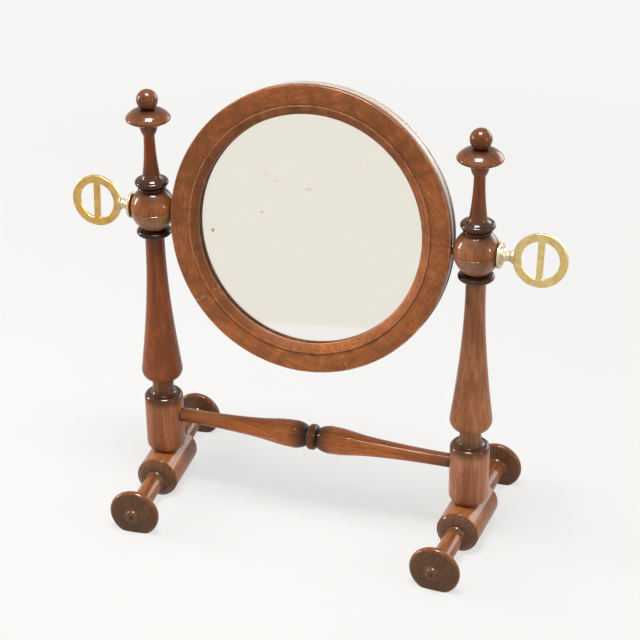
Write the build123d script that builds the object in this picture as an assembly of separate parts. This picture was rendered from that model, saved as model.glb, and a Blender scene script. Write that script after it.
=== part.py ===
from build123d import *
import os
from math import cos, degrees, radians, sin, sqrt

# Swivel mirror: two turned posts on turned feet, tied by a stretcher, carry a round framed
# mirror plate that swings on two brass thumb screws. Millimetres, +Z up, front towards -Y,
# origin on the floor midway between the posts.

# Shared clearances
glue_gap = 0.05
turning_gap = 0.3
thread_gap = 0.05
cut_overrun = 1.0

# Rise of a quarter round over its own chord
quarter_share = (sqrt(2) - 1) / 2

# Feet, turned along their own length and planed flat underneath
foot_half_length = 58.0
foot_axis_height = 11.3
foot_toe_in_deg = 3.7
foot_barrel_radius = 12.0
foot_barrel_half_length = 18.5
foot_barrel_rim_round = 0.9
foot_barrel_dome_depth = 3.2
foot_barrel_dome_share = 0.09
foot_barrel_end_radius = 5.8
foot_spindle_radius = 5.4
foot_spindle_flare_radius = 6.4
foot_spindle_flare_length = 4.0
foot_spindle_flare_share = -0.12
foot_disc_radius = 14.2
foot_disc_thickness = 4.4
foot_disc_rim_round = 1.6
foot_disc_dish_depth = 1.4
foot_disc_face_rise = 0.6
foot_button_radius = 5.8
foot_button_cove_rise = 0.8
foot_button_cove_share = -0.12
foot_button_dome_radius = 3.9
foot_button_dome_share = 0.2
foot_button_height = 2.8
foot_button_pip_radius = 1.1
foot_button_pip_depth = 0.9

# Posts, from the seat on the foot upwards
post_tenon_radius = 4.0
post_tenon_length = 9.0
post_seat_rise = 11.2
block_base_radius = 8.6
block_base_round_height = 4.8
block_base_share = 0.13
block_radius = 11.0
block_length = 33.0
shoulder_height = 3.2
shoulder_top_radius = 8.7
shoulder_step = 0.7
cove_height = 3.4
cove_share = -0.15
neck_radius = 6.0
neck_length = 6.0
bowl_height = 6.8
bowl_bulge_shares = (0.82, 0.40)
baluster_radius = 11.6
baluster_length = 80.1
baluster_top_radius = 5.35
baluster_height_shares = (0.28, 0.60)
baluster_radius_shares = (0.56, 0.18)
baluster_foot_lean = -0.13
flare_height = 3.8
flare_radius = 6.6
flare_share = -0.12
lower_bead_radius = 9.7
lower_bead_neck_radius = 8.1
lower_bead_height = 3.2
bead_groove_width = 0.6
bead_groove_radius = 5.5
ball_radius = 12.4
ball_end_radius = 6.0
ball_height = 23.2
ball_flat_depth = 0.9
ball_line_width = 0.6
ball_line_depth = 0.35
fillet_radius = 7.8
fillet_edge_radius = 7.0
fillet_height = 1.4
upper_bead_radius = 9.2
upper_bead_neck_radius = 7.5
upper_bead_height = 3.4
spindle_flare_radius = 6.8
spindle_flare_height = 3.4
spindle_flare_share = -0.11
spindle_radius = 4.6
spindle_top_radius = 3.0
spindle_length = 25.8
spindle_share = -0.018
cup_foot_radius = 3.3
cup_radius = 4.9
cup_height = 5.3
cup_share = 0.07
cup_band_height = 0.9

# Finials, pegged into the tops of the posts
finial_peg_radius = 1.7
finial_peg_length = 8.5
cap_radius = 12.1
cap_underside_height = 2.0
cap_underside_share = 0.09
cap_rim_round = 1.2
cap_rim_top_deg = 35.0
cap_dome_height = 4.4
cap_dome_share = 0.13
finial_ball_radius = 5.8
finial_neck_radius = 2.9

# Stretcher between the blocks
stretcher_height = 45.3
stretcher_end_radius = 4.0
stretcher_socket_depth = 7.0
stretcher_bead_radius = 7.3
stretcher_bead_width = 5.2
stretcher_groove_radius = 5.7
stretcher_groove_width = 0.7
stretcher_swell_radius = 7.8
stretcher_swell_length = 8.6
stretcher_swell_share = 0.085
stretcher_taper_length = 64.0
stretcher_taper_length_shares = (0.26, 0.46, 0.70)
stretcher_taper_radius_shares = (0.55, 0.27, 0.08)

# Mirror frame: depths are along the frame's front normal, measured from the pivot line
frame_tilt_deg = 10.5
face_radius = 78.0
face_band_width = 10.9
face_bevel_width = 5.0
face_segments = 5
face_first_joint_deg = -70.5
face_joint_gap = 0.06
face_back_depth = 3.3
face_edge_thickness = 1.7
face_edge_round = 1.1
face_rise = 2.75
face_share = 0.035
quirk_rise = 0.7
arris_width = 0.8
sight_edge_thickness = 0.9
core_inset = 0.4
core_back_depth = -3.4
glass_thickness = 3.0
glass_rebate = 3.0
glass_edge_gap = 0.5
paper_thickness = 0.8
back_flange_thickness = 2.4
back_flange_round = 1.0
back_screw_count = 6
back_screw_first_deg = 30.0
back_screw_head_radius = 2.2
back_screw_head_height = 1.4
back_screw_radius = 1.1
back_screw_length = 8.0
back_screw_slot_width = 0.6
back_screw_slot_depth = 0.6

# Pivot hardware on each side
socket_radius = 2.6
socket_length = 9.0
socket_proud = 0.5
socket_end_wall = 0.8
washer_radius = 3.4
washer_thickness = 1.0

# Thumb screws and their collars
shank_radius = 2.8
shank_end_inset = 1.5
thread_radius = 2.0
thread_engagement = 7.0
thread_tip_chamfer = 0.5
collar_radius = 7.2
collar_thickness = 1.7
collar_rim_round = 0.6
stem_length = 6.4
stem_shoulder_radius = 5.2
stem_shoulder_thickness = 0.9
stem_waist_radius = 2.6
stem_waist_share = 0.5
stem_flare_radius = 3.6
stem_flare_thickness = 0.8
ring_radius = 14.4
ring_band_width = 4.3
ring_thickness = 2.4
ring_bar_width = 3.4
ring_edge_round = 0.5
ring_stem_overlap = 0.7
ring_turn_deg = {"left": -4.5, "right": -8.0}

# Levels and places worked out from the sizes above
post_seat_z = foot_axis_height + post_seat_rise
shoulder_z = post_seat_z + block_length
cove_z = shoulder_z + shoulder_height
neck_z = cove_z + cove_height
bowl_z = neck_z + neck_length
baluster_z = bowl_z + bowl_height
flare_z = baluster_z + baluster_length
lower_bead_z = flare_z + flare_height
ball_z = lower_bead_z + lower_bead_height + bead_groove_width
pivot_z = ball_z + ball_height / 2
fillet_z = ball_z + ball_height
upper_bead_z = fillet_z + fillet_height + bead_groove_width
spindle_z = upper_bead_z + upper_bead_height
cup_z = spindle_z + spindle_length
post_top_z = cup_z + cup_height + cup_band_height
quirk_radius = face_radius - face_band_width
sight_radius = quirk_radius - face_bevel_width
glass_radius = sight_radius + glass_rebate
core_radius = face_radius - core_inset
core_inner_radius = glass_radius + glass_edge_gap
back_screw_circle_radius = (core_inner_radius + core_radius) / 2
ball_flat_radius = ball_radius - ball_flat_depth
washer_face_x = core_radius + socket_proud
post_x = washer_face_x + washer_thickness + ball_flat_radius
shank_bore_radius = shank_radius + turning_gap
washer_bore_radius = thread_radius + turning_gap
socket_bore_radius = thread_radius + thread_gap
arris_depth = face_back_depth + face_rise + quirk_rise
glass_back_depth = face_back_depth - glass_thickness
paper_back_depth = glass_back_depth - paper_thickness
back_depth = core_back_depth - back_flange_thickness
sides = {"left": -1, "right": 1}
mirror_place = Location((0, 0, pivot_z), (90 - frame_tilt_deg, 0, 0))


class Outline:
    """Half section of a turned piece, drawn point by point as radius and height."""

    def __init__(self, radius, height):
        self.start = (radius, height)
        self.pen = self.start
        self.edges = []

    def line(self, radius, height):
        self.edges.append(Line(self.pen, (radius, height)))
        self.pen = (radius, height)

    def arc(self, through, end):
        self.edges.append(ThreePointArc(self.pen, through, end))
        self.pen = end

    def bulge(self, radius, height, share):
        # Arc that stands out from its chord by a share of the chord's length.
        run = radius - self.pen[0]
        climb = height - self.pen[1]
        middle_radius = self.pen[0] + run / 2 + share * climb
        middle_height = self.pen[1] + climb / 2 - share * run
        self.arc((middle_radius, middle_height), (radius, height))

    def curve(self, points, tangents):
        self.edges.append(Spline([self.pen, *points], tangents=tangents))
        self.pen = points[-1]

    def turned(self, arc_deg=360.0):
        self.line(*self.start)
        section = Plane.XZ * make_face(self.edges)
        return revolve(section, Axis.Z, arc_deg)


def between(first, last, share):
    return first + (last - first) * share


def foot(side):
    half = Outline(0, 0)
    half.line(foot_barrel_radius, 0)
    half.line(foot_barrel_radius, foot_barrel_half_length - foot_barrel_rim_round)
    half.bulge(foot_barrel_radius - foot_barrel_rim_round, foot_barrel_half_length, quarter_share)
    barrel_end = foot_barrel_half_length + foot_barrel_dome_depth
    half.bulge(foot_barrel_end_radius, barrel_end, foot_barrel_dome_share)
    half.bulge(foot_spindle_radius, barrel_end + foot_spindle_flare_length, foot_spindle_flare_share)
    disc_back = foot_half_length - foot_disc_thickness
    spindle_end = disc_back - foot_disc_dish_depth
    half.line(foot_spindle_radius, spindle_end - foot_spindle_flare_length)
    half.bulge(foot_spindle_flare_radius, spindle_end, foot_spindle_flare_share)
    rim_foot_radius = foot_disc_radius - foot_disc_rim_round
    half.line(rim_foot_radius, disc_back)
    half.arc(
        (foot_disc_radius, foot_half_length - foot_disc_thickness / 2),
        (rim_foot_radius, foot_half_length),
    )
    face_top = foot_half_length + foot_disc_face_rise
    half.line(foot_button_radius, face_top)
    half.bulge(foot_button_dome_radius, face_top + foot_button_cove_rise, foot_button_cove_share)
    button_top = face_top + foot_button_height
    half.bulge(foot_button_pip_radius, button_top, foot_button_dome_share)
    half.line(0, button_top - foot_button_pip_depth)
    turning = half.turned()
    turning += mirror(turning, Plane.XY)

    turning = Rotation(-90, 0, 0) * turning
    planing = Box(
        foot_disc_radius * 2 + cut_overrun,
        (foot_half_length + foot_disc_radius) * 2,
        foot_disc_radius,
        align=(Align.CENTER, Align.CENTER, Align.MAX),
    )
    turning -= Location((0, 0, -foot_axis_height)) * planing
    seat = Cylinder(
        block_radius + glue_gap,
        foot_barrel_radius,
        align=(Align.CENTER, Align.CENTER, Align.MIN),
    )
    turning -= Location((0, 0, post_seat_rise)) * seat
    tenon_hole = Cylinder(
        post_tenon_radius + glue_gap,
        post_tenon_length + glue_gap + cut_overrun,
        align=(Align.CENTER, Align.CENTER, Align.MAX),
    )
    turning -= Location((0, 0, post_seat_rise + cut_overrun)) * tenon_hole
    turn = -foot_toe_in_deg * sides[side]
    return Location((sides[side] * post_x, 0, foot_axis_height), (0, 0, turn)) * turning


def post(side):
    half = Outline(0, post_seat_z - post_tenon_length)
    half.line(post_tenon_radius, post_seat_z - post_tenon_length)
    half.line(post_tenon_radius, post_seat_z)
    half.line(block_base_radius, post_seat_z)
    half.bulge(block_radius, post_seat_z + block_base_round_height, block_base_share)
    half.line(block_radius, shoulder_z)
    half.bulge(shoulder_top_radius, cove_z, quarter_share)
    half.line(shoulder_top_radius - shoulder_step, cove_z)
    half.bulge(neck_radius, neck_z, cove_share)
    half.line(neck_radius, bowl_z)
    bowl_middle = (
        between(neck_radius, baluster_radius, bowl_bulge_shares[0]),
        between(bowl_z, baluster_z, bowl_bulge_shares[1]),
    )
    half.arc(bowl_middle, (baluster_radius, baluster_z))
    taper = [
        (between(baluster_top_radius, baluster_radius, wide), between(baluster_z, flare_z, up))
        for wide, up in zip(baluster_radius_shares, baluster_height_shares)
    ]
    half.curve([*taper, (baluster_top_radius, flare_z)], [(baluster_foot_lean, 1), (0, 1)])
    half.bulge(flare_radius, lower_bead_z, flare_share)
    half.line(lower_bead_neck_radius, lower_bead_z)
    half.arc(
        (lower_bead_radius, lower_bead_z + lower_bead_height / 2),
        (lower_bead_neck_radius, lower_bead_z + lower_bead_height),
    )
    half.line(bead_groove_radius, lower_bead_z + lower_bead_height)
    half.line(bead_groove_radius, ball_z)
    half.line(ball_end_radius, ball_z)
    half.arc((ball_radius, pivot_z), (ball_end_radius, fillet_z))
    half.line(fillet_edge_radius, fillet_z)
    half.arc((fillet_radius, fillet_z + fillet_height / 2), (fillet_edge_radius, fillet_z + fillet_height))
    half.line(bead_groove_radius, fillet_z + fillet_height)
    half.line(bead_groove_radius, upper_bead_z)
    half.line(upper_bead_neck_radius, upper_bead_z)
    half.arc(
        (upper_bead_radius, upper_bead_z + upper_bead_height / 2),
        (upper_bead_neck_radius, spindle_z),
    )
    half.line(spindle_flare_radius, spindle_z)
    half.bulge(spindle_radius, spindle_z + spindle_flare_height, spindle_flare_share)
    half.bulge(spindle_top_radius, cup_z, spindle_share)
    half.line(cup_foot_radius, cup_z)
    half.bulge(cup_radius, cup_z + cup_height, cup_share)
    half.line(cup_radius, post_top_z)
    half.line(0, post_top_z)
    turning = half.turned()

    line_cut = Outline(ball_radius + cut_overrun, pivot_z - ball_line_width / 2)
    line_cut.line(ball_radius + cut_overrun, pivot_z + ball_line_width / 2)
    line_cut.line(ball_radius, pivot_z + ball_line_width / 2)
    line_cut.line(ball_radius - ball_line_depth, pivot_z)
    line_cut.line(ball_radius, pivot_z - ball_line_width / 2)
    turning -= line_cut.turned()

    flat_cut = Cylinder(ball_radius, ball_radius, align=(Align.CENTER, Align.CENTER, Align.MIN))
    for facing in (-90, 90):
        flat_place = Location((0, 0, pivot_z), (0, facing, 0)) * Location((0, 0, ball_flat_radius))
        turning -= flat_place * flat_cut
    shank_bore = Cylinder(shank_bore_radius, ball_radius * 2 + cut_overrun)
    turning -= Location((0, 0, pivot_z), (0, 90, 0)) * shank_bore

    peg_hole = Cylinder(
        finial_peg_radius + glue_gap,
        finial_peg_length + glue_gap + cut_overrun,
        align=(Align.CENTER, Align.CENTER, Align.MAX),
    )
    turning -= Location((0, 0, post_top_z + cut_overrun)) * peg_hole

    stretcher_hole = Cylinder(
        stretcher_end_radius + glue_gap,
        stretcher_socket_depth + glue_gap + cut_overrun,
        align=(Align.CENTER, Align.CENTER, Align.MIN),
    )
    hole_floor = block_radius - stretcher_socket_depth - glue_gap
    hole_place = Location((0, 0, stretcher_height), (0, -90 * sides[side], 0)) * Location((0, 0, hole_floor))
    turning -= hole_place * stretcher_hole
    return Location((sides[side] * post_x, 0, 0)) * turning


def finial(side):
    half = Outline(0, post_top_z - finial_peg_length)
    half.line(finial_peg_radius, post_top_z - finial_peg_length)
    half.line(finial_peg_radius, post_top_z)
    half.line(cup_radius, post_top_z)
    rim_z = post_top_z + cap_underside_height
    half.bulge(cap_radius - cap_rim_round, rim_z, cap_underside_share)
    rim_middle_z = rim_z + cap_rim_round
    rim_top = radians(cap_rim_top_deg)
    dome_foot_radius = cap_radius - cap_rim_round + cap_rim_round * cos(rim_top)
    dome_foot_z = rim_middle_z + cap_rim_round * sin(rim_top)
    half.arc((cap_radius, rim_middle_z), (dome_foot_radius, dome_foot_z))
    dome_z = dome_foot_z + cap_dome_height
    half.bulge(finial_neck_radius, dome_z, cap_dome_share)
    ball_centre_z = dome_z + sqrt(finial_ball_radius**2 - finial_neck_radius**2)
    half.arc((finial_ball_radius, ball_centre_z), (0, ball_centre_z + finial_ball_radius))
    return Location((sides[side] * post_x, 0, 0)) * half.turned()


def stretcher():
    half = Outline(0, 0)
    half.line(stretcher_bead_radius, 0)
    bead_end = stretcher_bead_width / 2
    half.bulge(stretcher_groove_radius, bead_end, quarter_share)
    swell_start = bead_end + stretcher_groove_width
    half.line(stretcher_groove_radius, swell_start)
    taper_start = swell_start + stretcher_swell_length
    half.bulge(stretcher_swell_radius, taper_start, stretcher_swell_share)
    taper_end = taper_start + stretcher_taper_length
    taper = [
        (between(stretcher_end_radius, stretcher_swell_radius, wide), between(taper_start, taper_end, along))
        for wide, along in zip(stretcher_taper_radius_shares, stretcher_taper_length_shares)
    ]
    half.curve([*taper, (stretcher_end_radius, taper_end)], [(0, 1), (0, 1)])
    half_length = post_x - block_radius + stretcher_socket_depth
    half.line(stretcher_end_radius, half_length)
    half.line(0, half_length)
    turning = half.turned()
    turning += mirror(turning, Plane.XY)
    return Location((0, 0, stretcher_height), (0, 90, 0)) * turning


def face_segment(index):
    half = Outline(sight_radius, face_back_depth)
    half.line(face_radius, face_back_depth)
    edge_top = face_back_depth + face_edge_thickness
    half.line(face_radius, edge_top)
    half.bulge(face_radius - face_edge_round, edge_top + face_edge_round, quarter_share)
    half.bulge(quirk_radius, face_back_depth + face_rise, face_share)
    half.line(quirk_radius, arris_depth)
    half.line(quirk_radius - arris_width, arris_depth)
    half.line(sight_radius, face_back_depth + sight_edge_thickness)
    step = 360 / face_segments
    gap_deg = degrees(face_joint_gap / face_radius)
    sector = half.turned(step - gap_deg)
    return mirror_place * Rotation(0, 0, face_first_joint_deg + index * step) * sector


def ring(inner, outer, back, front):
    half = Outline(inner, back)
    half.line(outer, back)
    half.line(outer, front)
    half.line(inner, front)
    return half.turned()


def screw_places():
    step = 360 / back_screw_count
    turns = [back_screw_first_deg + index * step for index in range(back_screw_count)]
    first_place = Location((back_screw_circle_radius, 0, back_depth))
    return [Rotation(0, 0, turn) * first_place for turn in turns]


def screw_body():
    half = Outline(0, 0)
    half.line(back_screw_head_radius, 0)
    half.line(back_screw_radius, back_screw_head_height)
    half.line(back_screw_radius, back_screw_length - back_screw_radius)
    half.line(0, back_screw_length)
    return half.turned()


def socket_place(side):
    return mirror_place * Rotation(0, 90 * sides[side], 0)


def frame_core():
    core = ring(core_inner_radius, core_radius, core_back_depth, face_back_depth)
    for place in screw_places():
        core -= place * screw_body()
    core = mirror_place * core
    socket_hole = Cylinder(
        socket_radius,
        socket_length + cut_overrun,
        align=(Align.CENTER, Align.CENTER, Align.MIN),
    )
    for side in sides:
        core -= socket_place(side) * Location((0, 0, washer_face_x - socket_length)) * socket_hole
    return core


def mirror_glass():
    return mirror_place * ring(0, glass_radius, glass_back_depth, face_back_depth)


def backing_paper():
    return mirror_place * ring(0, glass_radius, paper_back_depth, glass_back_depth)


def back_plate():
    half = Outline(0, back_depth)
    half.line(face_radius - back_flange_round, back_depth)
    half.bulge(face_radius, back_depth + back_flange_round, quarter_share)
    half.line(face_radius, core_back_depth)
    half.line(glass_radius, core_back_depth)
    half.line(glass_radius, paper_back_depth)
    half.line(0, paper_back_depth)
    plate = half.turned()
    for place in screw_places():
        plate -= place * screw_body()
    return mirror_place * plate


def back_screws():
    slot = Box(
        back_screw_slot_width,
        back_screw_head_radius * 2 + cut_overrun,
        back_screw_slot_depth * 2,
    )
    screw = screw_body() - slot
    return Compound(children=[mirror_place * place * screw for place in screw_places()])


def socket(side):
    half = Outline(0, washer_face_x - socket_length)
    half.line(socket_radius, washer_face_x - socket_length)
    half.line(socket_radius, washer_face_x)
    half.line(socket_bore_radius, washer_face_x)
    bore_floor = washer_face_x - socket_length + socket_end_wall
    half.line(socket_bore_radius, bore_floor)
    half.line(0, bore_floor)
    return socket_place(side) * half.turned()


def pivot_washer(side):
    washer_top_x = washer_face_x + washer_thickness
    return socket_place(side) * ring(washer_bore_radius, washer_radius, washer_face_x, washer_top_x)


def thumb_place(side):
    facing = Location((sides[side] * post_x, 0, pivot_z), (ring_turn_deg[side], 0, 0))
    return facing * Rotation(0, 90 * sides[side], 0)


def collar(side):
    collar_top = ball_flat_radius + collar_thickness
    half = Outline(shank_bore_radius, ball_flat_radius)
    half.line(collar_radius - collar_rim_round, ball_flat_radius)
    half.bulge(collar_radius, ball_flat_radius + collar_rim_round, quarter_share)
    half.line(collar_radius, collar_top - collar_rim_round)
    half.bulge(collar_radius - collar_rim_round, collar_top, quarter_share)
    half.line(shank_bore_radius, collar_top)
    return thumb_place(side) * half.turned()


def thumb_screw(side):
    stem_start = ball_flat_radius + collar_thickness
    stem_end = stem_start + stem_length
    thread_tip = -ball_flat_radius - washer_thickness - thread_engagement
    shank_end = shank_end_inset - ball_flat_radius
    half = Outline(0, thread_tip)
    half.line(thread_radius - thread_tip_chamfer, thread_tip)
    half.line(thread_radius, thread_tip + thread_tip_chamfer)
    half.line(thread_radius, shank_end)
    half.line(shank_radius, shank_end)
    half.line(shank_radius, stem_start)
    half.line(stem_shoulder_radius, stem_start)
    half.line(stem_shoulder_radius, stem_start + stem_shoulder_thickness)
    waist = (stem_waist_radius, between(stem_start, stem_end, stem_waist_share))
    half.arc(waist, (stem_flare_radius, stem_end - stem_flare_thickness))
    half.line(stem_flare_radius, stem_end)
    half.line(0, stem_end)
    screw = half.turned()

    ring_centre = stem_end - ring_stem_overlap + ring_radius
    inner_radius = ring_radius - ring_band_width
    head = Cylinder(ring_radius, ring_thickness) - Cylinder(inner_radius, ring_thickness)
    head += Box(ring_bar_width, inner_radius * 2 + ring_band_width, ring_thickness)
    head = fillet(head.edges(), ring_edge_round)
    screw += Location((0, 0, ring_centre), (90, 0, 0)) * Rotation(0, 0, 90) * head
    return thumb_place(side) * screw


nodes = {"stretcher": stretcher()}
for side in sides:
    nodes[side + "_foot"] = foot(side)
    nodes[side + "_post"] = post(side)
    nodes[side + "_finial"] = finial(side)
    nodes[side + "_socket"] = socket(side)
    nodes[side + "_pivot_washer"] = pivot_washer(side)
    nodes[side + "_collar"] = collar(side)
    nodes[side + "_thumb_screw"] = thumb_screw(side)
for index in range(face_segments):
    nodes["frame_segment_" + str(index + 1)] = face_segment(index)
nodes["frame_core"] = frame_core()
nodes["mirror_glass"] = mirror_glass()
nodes["backing_paper"] = backing_paper()
nodes["back_plate"] = back_plate()
nodes["back_screws"] = back_screws()

os.makedirs("parts", exist_ok=True)
for name, shape in nodes.items():
    export_step(shape, "parts/" + name + ".step")
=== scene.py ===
import bpy
import bmesh
from math import cos, pi, radians, sin
from mathutils import Matrix, Vector


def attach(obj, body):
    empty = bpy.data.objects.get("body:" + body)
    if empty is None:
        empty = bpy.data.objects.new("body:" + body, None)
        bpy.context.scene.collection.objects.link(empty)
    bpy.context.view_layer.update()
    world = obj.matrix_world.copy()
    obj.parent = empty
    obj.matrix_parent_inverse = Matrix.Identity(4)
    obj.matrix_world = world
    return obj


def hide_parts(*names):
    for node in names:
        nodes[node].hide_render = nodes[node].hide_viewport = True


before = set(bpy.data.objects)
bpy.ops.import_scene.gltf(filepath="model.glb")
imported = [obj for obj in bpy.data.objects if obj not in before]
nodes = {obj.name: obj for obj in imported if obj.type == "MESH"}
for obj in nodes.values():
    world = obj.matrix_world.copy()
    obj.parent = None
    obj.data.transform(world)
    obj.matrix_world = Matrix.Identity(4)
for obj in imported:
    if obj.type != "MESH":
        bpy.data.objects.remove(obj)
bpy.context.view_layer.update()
scene = bpy.context.scene
scene.view_settings.view_transform = "Standard"
print("frame loaded:", len(nodes), "nodes")

mm = 0.001  # places and sizes in the settings are in mm, bump depths and grain settings in metres


# small helpers for node trees

def put(tree, kind, feeds=None, **settings):
    node = tree.nodes.new(kind)
    for name, value in settings.items():
        setattr(node, name, value)
    for key, value in (feeds or {}).items():
        socket = node.inputs[key]
        if isinstance(value, bpy.types.NodeSocket):
            tree.links.new(value, socket)
        else:
            socket.default_value = value
    return node


def sums(tree, operation, first, second=0.0, third=0.0):
    return put(tree, "ShaderNodeMath", {0: first, 1: second, 2: third}, operation=operation).outputs[0]


def product(tree, first, second):
    return sums(tree, "MULTIPLY", first, second)


def largest(tree, first, *others):
    for other in others:
        first = sums(tree, "MAXIMUM", first, other)
    return first


def flatReach(tree, first, second):
    square = sums(tree, "ADD", product(tree, first, first), product(tree, second, second))
    return sums(tree, "SQRT", square)


def vectorSum(tree, operation, first, second):
    return put(tree, "ShaderNodeVectorMath", {0: first, 1: second}, operation=operation).outputs[0]


def vectorLength(tree, vector):
    return put(tree, "ShaderNodeVectorMath", {0: vector}, operation="LENGTH").outputs["Value"]


def split(tree, vector):
    return put(tree, "ShaderNodeSeparateXYZ", {0: vector}).outputs


def combine(tree, x=0.0, y=0.0, z=0.0):
    return put(tree, "ShaderNodeCombineXYZ", {0: x, 1: y, 2: z}).outputs[0]


def objectSpace(tree):
    return put(tree, "ShaderNodeTexCoord").outputs["Object"]


def mixColour(tree, factor, first, second, blend="MIX"):
    feeds = {0: factor, 6: first, 7: second}
    return put(tree, "ShaderNodeMix", feeds, data_type="RGBA", blend_type=blend).outputs[2]


def remap(tree, value, fromLow, fromHigh, toLow=0.0, toHigh=1.0, smooth=False):
    node = put(tree, "ShaderNodeMapRange", {0: value, 1: fromLow, 2: fromHigh, 3: toLow, 4: toHigh})
    node.interpolation_type = "SMOOTHSTEP" if smooth else "LINEAR"
    return node.outputs[0]


def remapMm(tree, value, fromLow, fromHigh, toLow=0.0, toHigh=1.0, smooth=False):
    return remap(tree, value, fromLow * mm, fromHigh * mm, toLow, toHigh, smooth)


def ramp(tree, value, stops):
    node = put(tree, "ShaderNodeValToRGB", {0: value})
    band = node.color_ramp
    while len(band.elements) < len(stops):
        band.elements.new(0.5)
    for element, (place, colour) in zip(band.elements, stops):
        element.position = place
    for element, (place, colour) in zip(band.elements, stops):
        element.color = (*colour, 1.0)
    return node.outputs[0]


def noise(tree, vector, scale, detail=3.0, roughness=0.55):
    feeds = {"Vector": vector, "Scale": scale, "Detail": detail, "Roughness": roughness}
    return put(tree, "ShaderNodeTexNoise", feeds).outputs["Fac"]


def shaderGroup(name, settings, results):
    tree = bpy.data.node_groups.new(name, "ShaderNodeTree")
    tree.interface.new_socket(name="Vector", in_out="INPUT", socket_type="NodeSocketVector")
    for label, value in settings.items():
        socket = tree.interface.new_socket(name=label, in_out="INPUT", socket_type="NodeSocketFloat")
        socket.default_value = value
    for label in results:
        tree.interface.new_socket(name=label, in_out="OUTPUT", socket_type="NodeSocketFloat")
    return tree, put(tree, "NodeGroupInput").outputs, put(tree, "NodeGroupOutput").inputs


def useGroup(tree, group, feeds):
    return put(tree, "ShaderNodeGroup", feeds, node_tree=group).outputs


# wood with the grain along the third axis of the vector that comes in, in metres
# each noise is given as scale, detail and roughness

grainLook = {
    "settings": {
        "Ring Width": 0.0031, "Pith X": 0.021, "Pith Y": 0.013, "Ring Share": 0.14, "Streak Share": 0.3,
    },
    "driftStretch": (1.0, 1.0, 0.25),
    "driftNoise": (55.0, 3.0),
    "driftReach": 0.011,
    "fibreStretch": (1.0, 1.0, 0.03),
    "fibreNoise": (1300.0, 4.0, 0.65),
    "fibreShare": 0.55,
    "streakNoise": (260.0, 3.0, 0.6),
    "contrast": 0.13,
    "blotchStretch": (1.0, 1.0, 0.35),
    "blotchNoise": (95.0, 4.0, 0.6),
    "blotchRange": (0.36, 0.66),
    "poreStretch": (1.0, 1.0, 0.05),
    "poreNoise": (2600.0, 1.0),
    "poreRange": (0.62, 0.72),
    "poreHeight": -0.8,
    "fibreHeight": 0.35,
}


def makeGrain(look):
    tree, given, out = shaderGroup("woodGrain", look["settings"], ("Figure", "Blotch", "Pores", "Height"))

    def stretched(key):
        return vectorSum(tree, "MULTIPLY", given["Vector"], look[key])

    drift = sums(tree, "SUBTRACT", noise(tree, stretched("driftStretch"), *look["driftNoise"]), 0.5)
    parts = split(tree, given["Vector"])
    across = sums(tree, "ADD", parts[0], given["Pith X"])
    across = sums(tree, "MULTIPLY_ADD", drift, look["driftReach"], across)
    deep = sums(tree, "ADD", parts[1], given["Pith Y"])
    turns = sums(tree, "DIVIDE", flatReach(tree, across, deep), given["Ring Width"])
    rings = remap(tree, sums(tree, "SINE", product(tree, turns, 2 * pi)), -1.0, 1.0)
    fibreSpace = stretched("fibreStretch")
    fibre = noise(tree, fibreSpace, *look["fibreNoise"])
    streaks = product(tree, noise(tree, fibreSpace, *look["streakNoise"]), given["Streak Share"])
    figure = sums(tree, "MULTIPLY_ADD", rings, given["Ring Share"], streaks)
    figure = sums(tree, "MULTIPLY_ADD", fibre, look["fibreShare"], figure)
    shares = sums(tree, "ADD", given["Ring Share"], given["Streak Share"])
    middle = sums(tree, "MULTIPLY_ADD", shares, 0.5, look["fibreShare"] / 2)
    figure = sums(tree, "SUBTRACT", figure, middle)
    tree.links.new(remap(tree, figure, -look["contrast"], look["contrast"]), out["Figure"])
    blotch = noise(tree, stretched("blotchStretch"), *look["blotchNoise"])
    tree.links.new(remap(tree, blotch, *look["blotchRange"], smooth=True), out["Blotch"])
    pores = remap(tree, noise(tree, stretched("poreStretch"), *look["poreNoise"]), *look["poreRange"])
    tree.links.new(pores, out["Pores"])
    height = product(tree, fibre, look["fibreHeight"])
    tree.links.new(sums(tree, "MULTIPLY_ADD", pores, look["poreHeight"], height), out["Height"])
    return tree


# dull patches, fine rubs and specks that old varnish and brass carry

handlingLook = {
    "settings": {"Patch Scale": 60.0},
    "smudgeNoise": (4.0, 0.6),
    "smudgeRange": (0.38, 0.68),
    "rubStretch": (1.0, 0.15, 0.35),
    "rubNoise": (1500.0, 2.0, 0.7),
    "rubRange": (0.55, 0.78),
    "speckScale": 420.0,
    "speckRange": (0.16, 0.06),
    "gateNoise": (130.0, 1.0),
    "gateRange": (0.58, 0.66),
}


def makeHandling(look):
    tree, given, out = shaderGroup("handling", look["settings"], ("Smudge", "Rubs", "Specks"))
    smudge = noise(tree, given["Vector"], given["Patch Scale"], *look["smudgeNoise"])
    tree.links.new(remap(tree, smudge, *look["smudgeRange"]), out["Smudge"])
    slanted = vectorSum(tree, "MULTIPLY", given["Vector"], look["rubStretch"])
    rubs = noise(tree, slanted, *look["rubNoise"])
    tree.links.new(remap(tree, rubs, *look["rubRange"]), out["Rubs"])
    feeds = {"Vector": given["Vector"], "Scale": look["speckScale"], "Randomness": 1.0}
    dots = put(tree, "ShaderNodeTexVoronoi", feeds).outputs["Distance"]
    gate = remap(tree, noise(tree, given["Vector"], *look["gateNoise"]), *look["gateRange"])
    tree.links.new(product(tree, remap(tree, dots, *look["speckRange"]), gate), out["Specks"])
    return tree


grainGroup = makeGrain(grainLook)
handlingGroup = makeHandling(handlingLook)
print("shader groups ready")


# what every material shares

def newMaterial(name):
    material = bpy.data.materials.new(name)
    material.use_nodes = True
    return material, material.node_tree, material.node_tree.nodes["Principled BSDF"]


def pieceSpace(tree, centre, turn):
    feeds = {"Vector": objectSpace(tree), "Location": centre, "Rotation": turn}
    return put(tree, "ShaderNodeMapping", feeds, vector_type="TEXTURE").outputs[0]


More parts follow.
